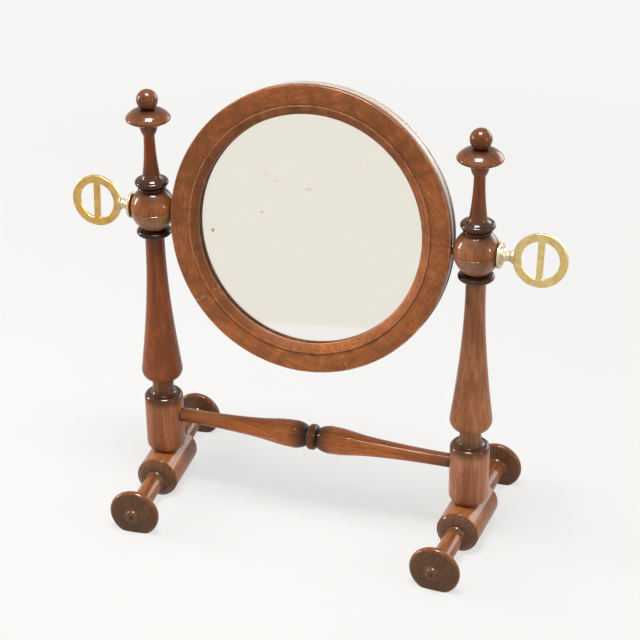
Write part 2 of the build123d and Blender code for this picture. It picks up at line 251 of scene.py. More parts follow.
def dress(name, material):
    nodes[name].data.materials.clear()
    nodes[name].data.materials.append(material)


def setSurface(shader, look):
    for socketName, value in look["surface"].items():
        shader.inputs[socketName].default_value = value


def finishSkin(tree, shader, look, colour, rough, height):
    setSurface(shader, look)
    tree.links.new(colour, shader.inputs["Base Color"])
    tree.links.new(rough, shader.inputs["Roughness"])
    strength, distance = look["bump"]
    feeds = {"Strength": strength, "Distance": distance, "Height": height}
    tree.links.new(put(tree, "ShaderNodeBump", feeds).outputs[0], shader.inputs["Normal"])


# glossy varnished turning: colour from the grain, tone along the piece from its own list, which also paints
# shade into grooves, under rims, at joints and on beads, and a sheen onto the barrels

def turnedWood(name, look):
    material, tree, shader = newMaterial(name)
    local = pieceSpace(tree, look["centre"], look["turn"])
    moved = vectorSum(tree, "ADD", local, look["shift"])
    grain = useGroup(tree, grainGroup, {"Vector": moved, **look["grain"]})
    handled = useGroup(tree, handlingGroup, {"Vector": moved})
    colour = ramp(tree, grain["Figure"], look["colours"])
    colour = mixColour(tree, product(tree, grain["Blotch"], look["blotch"]), colour, look["blotchColour"])
    along = split(tree, local)[2]
    if look["mirrored"]:
        along = sums(tree, "ABSOLUTE", along)
    low, high = look["span"]
    span = remapMm(tree, along, low, high)
    stops = [((place - low) / (high - low), tone) for place, tone in look["tones"]]
    # the tones multiply in the wood's own colour together with the painted shade and sheen
    colour = mixColour(tree, 1.0, colour, ramp(tree, span, stops), "MULTIPLY")
    for mask, share in ((grain["Pores"], look["pores"]), (handled["Specks"], look["specks"])):
        colour = mixColour(tree, product(tree, mask, share), colour, look["poreColour"])
    rough = sums(tree, "MULTIPLY_ADD", handled["Smudge"], look["smudge"], look["roughness"])
    lathe = sums(tree, "SINE", product(tree, along, 2 * pi / (look["lathePitch"] * mm)))
    height = sums(tree, "MULTIPLY_ADD", lathe, look["latheHeight"], grain["Height"])
    finishSkin(tree, shader, look, colour, rough, height)
    return material


def grey(value):
    return (value, value, value)


def sideShift(look, sign):
    across, deep, along = look["sideShift"]  # so that no two pieces show the same grain
    return (across, deep * sign, along * sign)


warmWood = [
    (0.0, (0.145, 0.040, 0.009)), (0.35, (0.210, 0.063, 0.015)),
    (0.7, (0.275, 0.090, 0.026)), (1.0, (0.340, 0.128, 0.044)),
]
paleWood = [
    (0.0, (0.210, 0.069, 0.021)), (0.35, (0.295, 0.105, 0.035)),
    (0.7, (0.370, 0.144, 0.057)), (1.0, (0.435, 0.192, 0.088)),
]
# painted shade for the beads, darkened where the balls and coves beside them shade them
beadShade = (0.18, 0.18, 0.17)
endGrain = (0.53, 0.73, 1.15)

# posts, with tones by height; painted shade at the block's foot, in its shoulder groove, on the beads and
# where the post meets the cap; the right baluster is paler and the right ball darker

postX = 90.6 * mm
postLook = {
    "turn": (0.0, 0.0, 0.0),
    "shift": (0.0, 0.0, 0.0),
    "sideShift": (0.0, 0.05, 0.3),
    "grain": {"Pith X": 0.019, "Pith Y": 0.012, "Ring Share": 0.05, "Streak Share": 0.17},
    "colours": warmWood,
    "blotch": 0.62,
    "blotchColour": (0.165, 0.047, 0.011, 1.0),
    "span": (20.0, 224.0),
    "mirrored": False,
    "tones": [
        (20.0, grey(0.35)), (25.0, (1.1, 1.15, 1.4)), (34.0, (1.38, 1.45, 2.0)), (52.0, (1.38, 1.45, 2.0)),
        (55.0, grey(0.8)), (57.5, grey(0.30)), (59.5, grey(0.45)), (62.5, (0.75, 0.85, 1.0)),
        (70.0, (0.98, 0.80, 0.60)), (76.0, (1.06, 0.85, 0.62)), (110.0, (1.02, 0.80, 0.56)),
        (140.0, (0.97, 0.76, 0.52)), (155.0, (0.87, 0.68, 0.48)), (158.0, grey(0.4)),
        (159.0, beadShade), (162.2, beadShade), (163.4, (1.16, 1.7, 2.5)), (173.8, (1.18, 1.7, 2.5)),
        (174.5, (1.2, 1.1, 0.95)), (180.0, grey(1.0)), (184.0, grey(0.55)), (187.0, beadShade),
        (191.0, beadShade), (193.5, grey(0.6)), (205.0, (1.0, 0.62, 0.20)), (216.6, (1.0, 0.62, 0.20)),
        (217.2, grey(0.7)), (222.0, grey(0.6)), (224.0, grey(0.35)),
    ],
    "pores": 0.35,
    "specks": 0.6,
    "poreColour": (0.034, 0.010, 0.005, 1.0),
    "roughness": 0.32,
    "smudge": 0.16,
    "lathePitch": 0.9,
    "latheHeight": 0.05,
    "surface": {"Specular IOR Level": 0.06, "Coat Weight": 0.4, "Coat Roughness": 0.07},
    "bump": (0.12, 0.0003),
}
rightTones = {
    70.0: grey(0.98), 76.0: grey(1.10), 110.0: grey(1.06), 140.0: grey(1.02), 155.0: grey(0.9),
    163.4: (0.85, 1.05, 1.5), 173.8: (0.85, 1.05, 1.5), 174.5: (0.95, 0.82, 0.75), 180.0: grey(0.8),
    205.0: (0.78, 0.50, 0.16), 216.6: (0.78, 0.50, 0.16),
}
rightPostLook = dict(
    postLook,
    colours=paleWood,
    tones=[(place, rightTones.get(place, tone)) for place, tone in postLook["tones"]],
)

# caps with their small balls, again by height, with painted shade under the cap's rim and in the neck between
# cap and ball

finialLook = dict(
    postLook,
    sideShift=(0.02, 0.05, 0.1),
    span=(214.0, 244.0),
    tones=[
        (214.0, grey(0.8)), (223.0, grey(0.35)), (225.5, (0.72, 0.70, 0.62)), (227.5, (0.80, 0.76, 0.66)),
        (230.4, grey(0.45)), (232.5, grey(0.22)), (234.0, (0.60, 0.55, 0.46)), (244.0, (0.72, 0.66, 0.55)),
    ],
)

# feet, with tones outwards from the barrel; the barrel is lightened and paled all round, partly its own
# colour and partly a painted sheen; the spindles toe in a little

footLook = dict(
    postLook,
    axisHeight=11.3,
    toeIn=3.7,
    grain=dict(postLook["grain"], **{"Pith X": 0.006, "Pith Y": 0.009}),
    span=(0.0, 62.0),
    mirrored=True,
    tones=[
        (0.0, (1.3, 1.5, 1.8)), (9.0, (1.3, 1.5, 1.8)), (12.5, (1.3, 1.4, 1.5)), (17.0, (1.3, 1.4, 1.5)),
        (18.2, grey(0.85)), (19.0, endGrain), (23.0, endGrain), (26.0, grey(0.85)), (34.0, grey(1.15)),
        (48.0, grey(1.0)), (51.0, grey(0.6)), (52.3, endGrain), (53.7, endGrain), (54.6, (0.95, 0.9, 0.85)),
        (56.8, (0.95, 0.9, 0.85)), (57.9, endGrain), (62.0, endGrain),
    ],
)
for side, sign, sidePostLook in (("left", -1, postLook), ("right", 1, rightPostLook)):
    centre = (sign * postX, 0.0, 0.0)
    look = dict(sidePostLook, centre=centre, shift=sideShift(sidePostLook, sign))
    dress(side + "_post", turnedWood(side + "PostWood", look))
    look = dict(finialLook, centre=centre, shift=sideShift(finialLook, sign))
    dress(side + "_finial", turnedWood(side + "FinialWood", look))
    look = dict(footLook, centre=(sign * postX, 0.0, footLook["axisHeight"] * mm))
    look["turn"] = (radians(-90), 0.0, radians(-footLook["toeIn"] * sign))
    dress(side + "_foot", turnedWood(side + "FootWood", look))

# stretcher, with tones outwards from its middle; painted shade on the middle bead and its coves and where the
# ends go into the blocks

stretcherLook = dict(
    postLook,
    centre=(0.0, 0.0, 45.3 * mm),
    turn=(0.0, radians(90), 0.0),
    span=(0.0, 90.0),
    mirrored=True,
    tones=[
        (0.0, grey(0.75)), (2.2, grey(0.5)), (3.0, grey(0.14)), (4.6, grey(0.28)), (8.5, grey(0.9)),
        (13.0, (1.95, 1.75, 1.4)), (40.0, (2.05, 1.8, 1.4)), (66.0, (1.5, 1.4, 1.3)), (78.5, grey(0.8)),
        (79.7, grey(0.35)), (90.0, grey(0.35)),
    ],
)
dress("stretcher", turnedWood("stretcherWood", stretcherLook))
print("turned wood done")

# the swinging mirror's own place: pivot height and lean
pivotZ = 174.2 * mm
mirrorLean = radians(79.5)
mirrorCentre = (0.0, 0.0, pivotZ)
mirrorTurn = (mirrorLean, 0.0, 0.0)
frameOuter = 78.0


def ringSpace(tree):
    local = pieceSpace(tree, mirrorCentre, mirrorTurn)
    across, up, depth = split(tree, local)
    reach = flatReach(tree, across, up)
    angle = sums(tree, "ARCTAN2", up, across)
    return {"local": local, "across": across, "up": up, "depth": depth, "reach": reach, "angle": angle}


def lineMask(tree, value, line):
    middle, half, soft = line
    away = sums(tree, "ABSOLUTE", sums(tree, "SUBTRACT", value, middle * mm))
    return remapMm(tree, away, half, half + soft, 1.0, 0.0, smooth=True)


# the joints between the frame's segments, and the pale chips along the lower ones

frameJoints = {
    "count": 5,
    "first": -70.5,
    "line": (0.12, 0.32),
    "chip": (0.5, 1.0),
    "chipGate": (0.45, 0.55),
    "chipsBelow": (-30.0, -40.0),
}


def jointMasks(tree, spot, uneven, joints):
    step = 2 * pi / joints["count"]
    turns = sums(tree, "DIVIDE", sums(tree, "SUBTRACT", spot["angle"], radians(joints["first"])), step)
    away = sums(tree, "ABSOLUTE", sums(tree, "SUBTRACT", turns, sums(tree, "ROUND", turns)))
    away = product(tree, product(tree, away, step), spot["reach"])
    joint = remapMm(tree, away, *joints["line"], 1.0, 0.0)
    near = remapMm(tree, away, *joints["chip"], 1.0, 0.0)
    chips = product(tree, near, remap(tree, uneven, *joints["chipGate"]))
    below = remap(tree, spot["angle"], *(radians(turn) for turn in joints["chipsBelow"]))
    return joint, product(tree, chips, below)


# moulded face of the frame: satin varnish, grain along each segment, pale edges: worn at the arris, worn and
# a painted highlight along the outer rim, a painted highlight along the sight edge
# lines are reach, half width and softness; wear is a range of the noise and what it gives

frameLook = {
    "colours": [
        (0.0, (0.200, 0.058, 0.017)), (0.4, (0.285, 0.088, 0.027)),
        (0.7, (0.345, 0.115, 0.038)), (1.0, (0.420, 0.160, 0.060)),
    ],
    "fleck": (0.8, 0.8, 4.0),
    "grain": {"Ring Width": 0.0042, "Pith X": 0.05, "Pith Y": 0.03, "Ring Share": 0.02, "Streak Share": 0.22},
    "patchScale": 90.0,
    "unevenScale": 240.0,
    "blotch": 0.7,
    "blotchColour": (0.170, 0.062, 0.020, 1.0),
    "arris": (66.8, 0.2, 0.3),
    "arrisWear": (0.35, 0.62, 0.05, 0.7),
    "rim": (77.5, 0.2, 0.3),
    "rimWearAndHighlight": (0.38, 0.62, 0.05, 0.65),
    "sight": (62.2, 0.1, 0.3),
    "sightHighlight": 0.3,
    "wornAndHighlightColour": (0.52, 0.235, 0.120, 1.0),
    "quirk": (67.3, 0.1, 0.4),
    "quirkShade": 0.4,
    "edgeReach": (77.6, 77.9),
    "edgeDepth": (5.6, 4.6),
    "edgeShade": 0.75,
    "poreDark": 0.4,
    "jointDark": 0.38,
    # painted shade on the inner bevel, darkest on the left
    "shadeTurn": 195.0,
    "shadeFacing": (0.1, 0.95),
    "shadeReach": (66.4, 65.6),
    "shadeShare": (0.1, 0.5),
    "darkColour": (0.035, 0.011, 0.005, 1.0),
    "chips": 0.7,
    "chipColour": (0.62, 0.32, 0.17, 1.0),
    "heightShade": [(0.0, (1.30, 1.24, 1.15)), (0.35, (1.10, 1.08, 1.05)), (1.0, (0.90, 0.86, 0.80))],
    "roughness": (0.34, 0.5),
    "surface": {"Specular IOR Level": 0.1, "Coat Weight": 0.14, "Coat Roughness": 0.18},
    "bump": (0.18, 0.0003),
}


def frameWood(look):
    material, tree, shader = newMaterial("frameSatin")
    stored = put(tree, "ShaderNodeAttribute", attribute_name="grain", attribute_type="GEOMETRY")
    own = stored.outputs["Vector"]
    flecked = vectorSum(tree, "MULTIPLY", own, look["fleck"])
    grain = useGroup(tree, grainGroup, {"Vector": flecked, **look["grain"]})
    handled = useGroup(tree, handlingGroup, {"Vector": own, "Patch Scale": look["patchScale"]})
    colour = ramp(tree, grain["Figure"], look["colours"])
    colour = mixColour(tree, product(tree, grain["Blotch"], look["blotch"]), colour, look["blotchColour"])
    spot = ringSpace(tree)
    reach = spot["reach"]
    uneven = noise(tree, spot["local"], look["unevenScale"])
    arris = product(tree, lineMask(tree, reach, look["arris"]), remap(tree, uneven, *look["arrisWear"]))
    # the outer rim's pale line is wear and a painted highlight; the sight edge's pale line is a painted
    # highlight
    rim = product(tree, lineMask(tree, reach, look["rim"]), remap(tree, uneven, *look["rimWearAndHighlight"]))
    sight = product(tree, lineMask(tree, reach, look["sight"]), look["sightHighlight"])
    colour = mixColour(tree, largest(tree, arris, rim, sight), colour, look["wornAndHighlightColour"])
    # painted shade: a dark line in the quirk just outside the arris
    quirk = product(tree, lineMask(tree, reach, look["quirk"]), look["quirkShade"])
    # painted shadow: the outer side of the moulding darkened along its join with the pale core
    low = remapMm(tree, spot["depth"], *look["edgeDepth"])
    edge = product(tree, remapMm(tree, reach, *look["edgeReach"]), low)
    edge = product(tree, edge, look["edgeShade"])
    pores = product(tree, grain["Pores"], look["poreDark"])
    joint, chips = jointMasks(tree, spot, uneven, frameJoints)
    joint = product(tree, joint, look["jointDark"])
    # painted shade: the inner bevel darkened towards the glass, most on the left a little below the middle
    facing = sums(tree, "COSINE", sums(tree, "SUBTRACT", spot["angle"], radians(look["shadeTurn"])))
    slope = remapMm(tree, reach, *look["shadeReach"])
    slope = remap(tree, slope, 0.0, 1.0, *look["shadeShare"])
    bevelShade = product(tree, remap(tree, facing, *look["shadeFacing"]), slope)
    # painted light and shade by height: the face lighter towards the bottom and darker towards the top
    shade = ramp(tree, remapMm(tree, spot["up"], -frameOuter, frameOuter), look["heightShade"])
    colour = mixColour(tree, 1.0, colour, shade, "MULTIPLY")
    colour = mixColour(tree, product(tree, chips, look["chips"]), colour, look["chipColour"])
    # real pores and joints, with the painted shade of quirk, outer edge and bevel, all mixed towards the dark
    # colour
    dark = largest(tree, quirk, edge, pores, joint, bevelShade)
    colour = mixColour(tree, dark, colour, look["darkColour"])
    rough = remap(tree, handled["Smudge"], 0.0, 1.0, *look["roughness"])
    finishSkin(tree, shader, look, colour, rough, grain["Height"])
    return material


# pale ring behind the face, its layers running round the edge, with painted shade where it meets its
# neighbours

coreLook = {
    "colours": [(0.0, (0.36, 0.26, 0.19)), (0.5, (0.55, 0.46, 0.38)), (1.0, (0.68, 0.60, 0.52))],
    "grain": {"Ring Width": 0.0022, "Ring Share": 0.16},
    "reachShare": 0.2,
    "backShade": (-2.9, -3.35),
    "backShare": 0.6,
    "frontShade": (2.95, 3.25),
    "frontShare": 0.35,
    "darkColour": (0.030, 0.016, 0.010, 1.0),
    "roughness": (0.32, 0.5),
    "surface": {"Specular IOR Level": 0.2, "Coat Weight": 0.12, "Coat Roughness": 0.15},
    "bump": (0.2, 0.0003),
}


def coreWood(look):
    material, tree, shader = newMaterial("corePaleWood")
    spot = ringSpace(tree)
    inwards = product(tree, spot["reach"], look["reachShare"])
    laid = combine(tree, spot["depth"], inwards, product(tree, spot["angle"], frameOuter * mm))
    grain = useGroup(tree, grainGroup, {"Vector": laid, **look["grain"]})
    colour = ramp(tree, grain["Figure"], look["colours"])
    # painted shade along the back and front edges, where the core meets the back board and the face
    backShade = product(tree, remapMm(tree, spot["depth"], *look["backShade"]), look["backShare"])
    frontShade = product(tree, remapMm(tree, spot["depth"], *look["frontShade"]), look["frontShare"])
    colour = mixColour(tree, largest(tree, backShade, frontShade), colour, look["darkColour"])
    rough = remap(tree, grain["Blotch"], 0.0, 1.0, *look["roughness"])
    finishSkin(tree, shader, look, colour, rough, grain["Height"])
    return material


# dark board over the back: straight grain up and down, rubbed rim, a painted pale sheen on the upper edge

backLook = {
    "colours": [
        (0.0, (0.030, 0.010, 0.005)), (0.45, (0.078, 0.027, 0.012)), (1.0, (0.165, 0.068, 0.031)),
    ],
    "grain": {"Ring Width": 0.006, "Pith X": 0.012, "Pith Y": 0.06, "Ring Share": 0.15},
    "patchScale": 45.0,
    "rub": (77.4, 0.5, 0.9),
    "rubWear": (0.2, 0.8, 0.1, 0.7),
    "rubColour": (0.21, 0.11, 0.06, 1.0),
    "sheenFacing": (0.25, 0.6),
    "sheenReach": (77.2, 77.7),
    "topSheen": 0.9,
    "sheenColour": (0.60, 0.55, 0.50, 1.0),
    "pores": 0.5,
    "poreColour": (0.012, 0.005, 0.003, 1.0),
    "roughness": (0.36, 0.56),
    "surface": {"Specular IOR Level": 0.25, "Coat Weight": 0.2, "Coat Roughness": 0.16},
    "bump": (0.25, 0.0004),
}


def backWood(look):
    material, tree, shader = newMaterial("backBoardWood")
    spot = ringSpace(tree)
    reach = spot["reach"]
    laid = combine(tree, spot["across"], spot["depth"], spot["up"])
    grain = useGroup(tree, grainGroup, {"Vector": laid, **look["grain"]})
    handled = useGroup(tree, handlingGroup, {"Vector": spot["local"], "Patch Scale": look["patchScale"]})
    colour = ramp(tree, grain["Figure"], look["colours"])
    rub = product(tree, lineMask(tree, reach, look["rub"]), remap(tree, handled["Smudge"], *look["rubWear"]))
    colour = mixColour(tree, rub, colour, look["rubColour"])
    # painted sheen: the rim paled on its upper part, where it faces up towards the light
    upward = remap(tree, sums(tree, "DIVIDE", spot["up"], reach), *look["sheenFacing"])
    topSheen = product(tree, remapMm(tree, reach, *look["sheenReach"]), product(tree, upward, look["topSheen"]))
    colour = mixColour(tree, topSheen, colour, look["sheenColour"])
    colour = mixColour(tree, product(tree, grain["Pores"], look["pores"]), colour, look["poreColour"])
    rough = remap(tree, handled["Smudge"], 0.0, 1.0, *look["roughness"])
    finishSkin(tree, shader, look, colour, rough, grain["Height"])
    return material


dress("frame_core", coreWood(coreLook))
dress("back_plate", backWood(backLook))

# aged brass: clear yellow where rubbed, brown film elsewhere, paler on the stems by the posts

brassLook = {
    "clean": {"left": (0.70, 0.46, 0.155, 1.0), "right": (0.76, 0.58, 0.26, 1.0)},
    "aged": {"left": (0.55, 0.32, 0.088, 1.0), "right": (0.60, 0.42, 0.155, 1.0)},
    "patchScale": 150.0,
    "stemEnd": (112.5, 108.5),
    "stemShare": 0.75,
    "stemColour": (0.60, 0.53, 0.40, 1.0),
    "filmNoise": (330.0, 4.0, 0.65),
    "filmRange": (0.52, 0.72),
    "filmShare": 0.4,
    "specks": 0.8,
    "filmColour": (0.26, 0.155, 0.055, 1.0),
    "roughness": (0.22, 0.40),
    "rubRoughness": 0.10,
    "rubHeight": 0.5,
    "surface": {"Metallic": 1.0},
    "bump": (0.12, 0.0002),
}
dullLook = dict(brassLook, stemColour=(0.55, 0.38, 0.15, 1.0), filmShare=0.8)


def agedBrass(name, look, side):
    material, tree, shader = newMaterial(name)
    where = objectSpace(tree)
    handled = useGroup(tree, handlingGroup, {"Vector": where, "Patch Scale": look["patchScale"]})
    colour = mixColour(tree, handled["Smudge"], look["clean"][side], look["aged"][side])
    stem = remapMm(tree, sums(tree, "ABSOLUTE", split(tree, where)[0]), *look["stemEnd"])
    colour = mixColour(tree, product(tree, stem, look["stemShare"]), colour, look["stemColour"])
    film = remap(tree, noise(tree, where, *look["filmNoise"]), *look["filmRange"])
    film = product(tree, film, look["filmShare"])
    film = largest(tree, film, product(tree, handled["Specks"], look["specks"]))
    colour = mixColour(tree, film, colour, look["filmColour"])
    rough = remap(tree, handled["Smudge"], 0.0, 1.0, *look["roughness"])
    rough = sums(tree, "MULTIPLY_ADD", handled["Rubs"], look["rubRoughness"], rough)
    height = sums(tree, "MULTIPLY_ADD", handled["Rubs"], look["rubHeight"], film)
    finishSkin(tree, shader, look, colour, rough, height)
    return material


dullBrass = agedBrass("dullBrass", dullLook, "left")
for side in ("left", "right"):
    brass = agedBrass(side + "Brass", brassLook, side)
    dress(side + "_thumb_screw", brass)
    dress(side + "_collar", brass)
    dress(side + "_socket", dullBrass)

# leather washers and the paper behind the plate

leatherLook = {
    "low": (0.012, 0.008, 0.006, 1.0),
    "high": (0.060, 0.036, 0.024, 1.0),
    "cellScale": 1400.0,
    "cellTone": 0.5,
    "cloudScale": 0.2,
    "cloudDetail": 4.0,
    "cloudTone": 0.6,
    "roughness": (0.3, 0.7, 0.65, 0.9),
    "surface": {},
    "bump": (0.5, 0.0002),
}
paperLook = dict(
    leatherLook,
    low=(0.42, 0.34, 0.23, 1.0),
    high=(0.66, 0.58, 0.44, 1.0),
    cellScale=520.0,
    bump=(0.2, 0.0002),
)


def softSheet(name, look):
    material, tree, shader = newMaterial(name)
    where = objectSpace(tree)
    feeds = {"Vector": where, "Scale": look["cellScale"]}
    cells = put(tree, "ShaderNodeTexVoronoi", feeds).outputs["Distance"]
    cloud = noise(tree, where, look["cellScale"] * look["cloudScale"], look["cloudDetail"])
    tone = sums(tree, "MULTIPLY_ADD", cells, look["cellTone"], product(tree, cloud, look["cloudTone"]))
    colour = mixColour(tree, tone, look["low"], look["high"])
    finishSkin(tree, shader, look, colour, remap(tree, cloud, *look["roughness"]), cells)
    return material


for side in ("left", "right"):
    dress(side + "_pivot_washer", softSheet(side + "WasherLeather", leatherLook))
dress("backing_paper", softSheet("backingPaper", paperLook))
print("frame ring, back, brass and soft pieces done")

# clear plate, hazy only where it is smudged most

glassLook = {
    "surface": {"Base Color": (0.985, 0.985, 0.975, 1.0), "Transmission Weight": 1.0, "IOR": 1.5},
    "patchScale": 40.0,
    "haze": (0.6, 1.0, 0.0, 0.035),
}


def plateGlass(look):
    material, tree, shader = newMaterial("plateGlass")
    setSurface(shader, look)
    feeds = {"Vector": objectSpace(tree), "Patch Scale": look["patchScale"]}
    handled = useGroup(tree, handlingGroup, feeds)
    tree.links.new(remap(tree, handled["Smudge"], *look["haze"]), shader.inputs["Roughness"])
    return material


dress("mirror_glass", plateGlass(glassLook))


# new meshes and objects

def toMesh(shape, name):
    mesh = bpy.data.meshes.new(name)
    shape.to_mesh(mesh)
    shape.free()
    return mesh


def addObject(name, data):
    added = bpy.data.objects.new(name, data)
    scene.collection.objects.link(added)
    return added


# silvering: a skin just inside the plate's back, browned at its edge and at a few marks
# each mark is x, y, size, strength and stretch

silverLook = {
    "radius": 64.9,
    "depth": 0.36,
    "thickness": 0.05,
    "steps": 180,
    "colour": (0.955, 0.945, 0.915, 1.0),
    "foxing": (0.50, 0.33, 0.09, 1.0),
    "unevenScale": 900.0,
    "edgeSpread": 5.0,
    "edgeRange": (1.2, 2.6),
    "edgeShare": 0.7,
    "markSpread": 0.4,
    "markSoft": 0.45,
    "marks": [
        (-54.8, -7.5, 0.85, 0.95, 1.0), (-27.1, 6.3, 0.5, 0.75, 1.0), (-19.7, 24.2, 0.7, 0.14, 2.2),
        (-1.8, 21.6, 0.7, 0.24, 2.4), (-25.5, 27.0, 0.9, 0.08, 2.0), (29.7, 39.5, 0.3, 0.5, 1.0),
    ],
    "roughness": (0.012, 0.3),
    "surface": {"Metallic": 1.0},
}


def silverSkin(look):
    material, tree, shader = newMaterial("silvering")
    setSurface(shader, look)
    spot = ringSpace(tree)
    uneven = noise(tree, spot["local"], look["unevenScale"])
    inside = sums(tree, "SUBTRACT", spot["reach"], look["radius"] * mm)
    spread = sums(tree, "MULTIPLY_ADD", uneven, look["edgeSpread"] * mm, inside)
    foxing = product(tree, remapMm(tree, spread, *look["edgeRange"]), look["edgeShare"])
    for x, y, size, strength, stretch in look["marks"]:
        gap = vectorSum(tree, "SUBTRACT", spot["local"], (x * mm, y * mm, 0.0))
        gap = vectorSum(tree, "MULTIPLY", gap, (1.0 / stretch, 1.0, 0.0))
        away = sums(tree, "MULTIPLY_ADD", uneven, look["markSpread"] * mm, vectorLength(tree, gap))
        mark = remapMm(tree, away, size + look["markSoft"], size, 0.0, strength)
        foxing = largest(tree, foxing, mark)
    colour = mixColour(tree, foxing, look["colour"], look["foxing"])
    tree.links.new(colour, shader.inputs["Base Color"])
    tree.links.new(remap(tree, foxing, 0.0, 1.0, *look["roughness"]), shader.inputs["Roughness"])
    return material


def makeSilvering(look):
    shape = bmesh.new()
    reach = look["radius"] * mm
    steps = look["steps"]
    turns = [2 * pi * step / steps for step in range(steps)]
    front, rear = (
        [shape.verts.new((reach * cos(turn), reach * sin(turn), height * mm)) for turn in turns]
        for height in (look["depth"], look["depth"] - look["thickness"])
    )
    shape.faces.new(front)
    shape.faces.new(list(reversed(rear)))
    for step in range(steps):
        after = (step + 1) % steps
        shape.faces.new((front[after], front[step], rear[step], rear[after]))
    bmesh.ops.recalc_face_normals(shape, faces=shape.faces)
    shape.transform(Matrix.Translation(mirrorCentre) @ Matrix.Rotation(mirrorLean, 4, "X"))
    mesh = toMesh(shape, "silvering")
    mesh.materials.append(silverSkin(look))
    skin = addObject("silvering", mesh)
    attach(skin, "mirror")


makeSilvering(silverLook)
print("plate and silvering done")


# geometry node trees

def geometryGroup(name, settings):
    tree = bpy.data.node_groups.new(name, "GeometryNodeTree")
    tree.interface.new_socket(name="Geometry", in_out="INPUT", socket_type="NodeSocketGeometry")
    for label, kind in settings.items():
        tree.interface.new_socket(name=label, in_out="INPUT", socket_type="NodeSocket" + kind)
    tree.interface.new_socket(name="Geometry", in_out="OUTPUT", socket_type="NodeSocketGeometry")
    return tree, put(tree, "NodeGroupInput").outputs, put(tree, "NodeGroupOutput").inputs


def leanAndDress(tree, given, out, geometry):
    lean = combine(tree, x=given["Lean"])
    lift = combine(tree, z=given["Lift"])
    feeds = {"Geometry": geometry, "Rotation": lean, "Translation": lift}
    leant = put(tree, "GeometryNodeTransform", feeds).outputs[0]
    real = put(tree, "GeometryNodeRealizeInstances", {"Geometry": leant}).outputs[0]
    feeds = {"Geometry": real, "Material": given["Material"]}
    tree.links.new(put(tree, "GeometryNodeSetMaterial", feeds).outputs[0], out["Geometry"])


def addModifier(source, name, tree, values):
    modifier = source.modifiers.new(name, "NODES")
    modifier.node_group = tree
    for item in tree.interface.items_tree:
        if item.item_type == "SOCKET" and item.in_out == "INPUT" and item.name in values:
            modifier[item.identifier] = values[item.name]


sharpAngle = radians(32)


def bakePiece(source, name):
    bpy.context.view_layer.update()
    shown = source.evaluated_get(bpy.context.evaluated_depsgraph_get())
    mesh = bpy.data.meshes.new_from_object(shown)
    mesh.name = name
    source.modifiers.clear()
    bpy.data.objects.remove(source)
    mesh.shade_smooth()
    mesh.set_sharp_from_angle(angle=sharpAngle)
    return addObject(name, mesh)


# frame segments: one moulding section swept along an arc, five times round
# the section is reach and depth; hand work pushes the face in and out above a depth

segmentLook = {
    "pathRadius": 70.0,
    "jointGap": 0.06,
    "arcSteps": 150,
    "handWork": 0.05,
    "workAbove": 5.2,
    "workScale": 70.0,
    "workDetail": 1.0,
    "workMiddle": 0.62,
    "grainApart": (0.137, 0.091, 0.173),
    "firstSeed": 11,
    "seedStep": 7,
    "section": [
        (62.1, 3.3), (78.0, 3.3), (78.0, 5.0), (77.93, 5.4), (77.68, 5.78), (77.3, 6.02), (76.9, 6.1),
        (75.4, 6.27), (73.7, 6.38), (72.0, 6.42), (70.3, 6.38), (68.7, 6.25), (67.14, 6.05), (67.1, 6.1),
        (67.1, 6.58), (67.02, 6.7), (66.88, 6.75), (66.5, 6.75), (66.3, 6.71), (62.24, 4.26), (62.12, 4.14),
    ],
}


def makeSweep(look):
    tree, given, out = geometryGroup("frameMoulding", {
        "Path Radius": "Float", "Sweep": "Float", "Arc Points": "Int", "Turn": "Float", "Lean": "Float",
        "Lift": "Float", "Hand Work": "Float", "Seed": "Int", "Material": "Material",
    })
    feeds = {
        "Resolution": given["Arc Points"], "Radius": given["Path Radius"],
        "Start Angle": 0.0, "Sweep Angle": given["Sweep"],
    }
    arc = put(tree, "GeometryNodeCurveArc", feeds, mode="RADIUS").outputs["Curve"]
    feeds = {"Curve": arc, "Profile Curve": given["Geometry"], "Fill Caps": True}
    swept = put(tree, "GeometryNodeCurveToMesh", feeds).outputs[0]
    place = put(tree, "GeometryNodeInputPosition").outputs[0]
    feeds = {"Vector": place, "W": given["Seed"], "Scale": look["workScale"], "Detail": look["workDetail"]}
    uneven = put(tree, "ShaderNodeTexNoise", feeds, noise_dimensions="4D").outputs["Fac"]
    push = product(tree, sums(tree, "SUBTRACT", uneven, look["workMiddle"]), given["Hand Work"])
    feeds = {0: split(tree, place)[2], 1: look["workAbove"] * mm}
    raised = put(tree, "FunctionNodeCompare", feeds, data_type="FLOAT", operation="GREATER_THAN").outputs[0]
    feeds = {"Geometry": swept, "Selection": raised, "Offset": combine(tree, z=push)}
    worked = put(tree, "GeometryNodeSetPosition", feeds).outputs[0]
    half = product(tree, given["Sweep"], -0.5)
    feeds = {"Vector": place, "Axis": (0.0, 0.0, 1.0), "Angle": half}
    level = put(tree, "ShaderNodeVectorRotate", feeds, rotation_type="AXIS_ANGLE").outputs[0]
    across, along, depth = split(tree, level)
    laid = combine(tree, across, depth, along)
    seeds = combine(tree, given["Seed"], given["Seed"], given["Seed"])
    apart = vectorSum(tree, "MULTIPLY", seeds, look["grainApart"])
    feeds = {"Geometry": worked, "Name": "grain", "Value": vectorSum(tree, "ADD", laid, apart)}
    stored = put(tree, "GeometryNodeStoreNamedAttribute", feeds, data_type="FLOAT_VECTOR", domain="POINT")
    feeds = {"Geometry": stored.outputs[0], "Rotation": combine(tree, z=given["Turn"])}
    leanAndDress(tree, given, out, put(tree, "GeometryNodeTransform", feeds).outputs[0])
    return tree


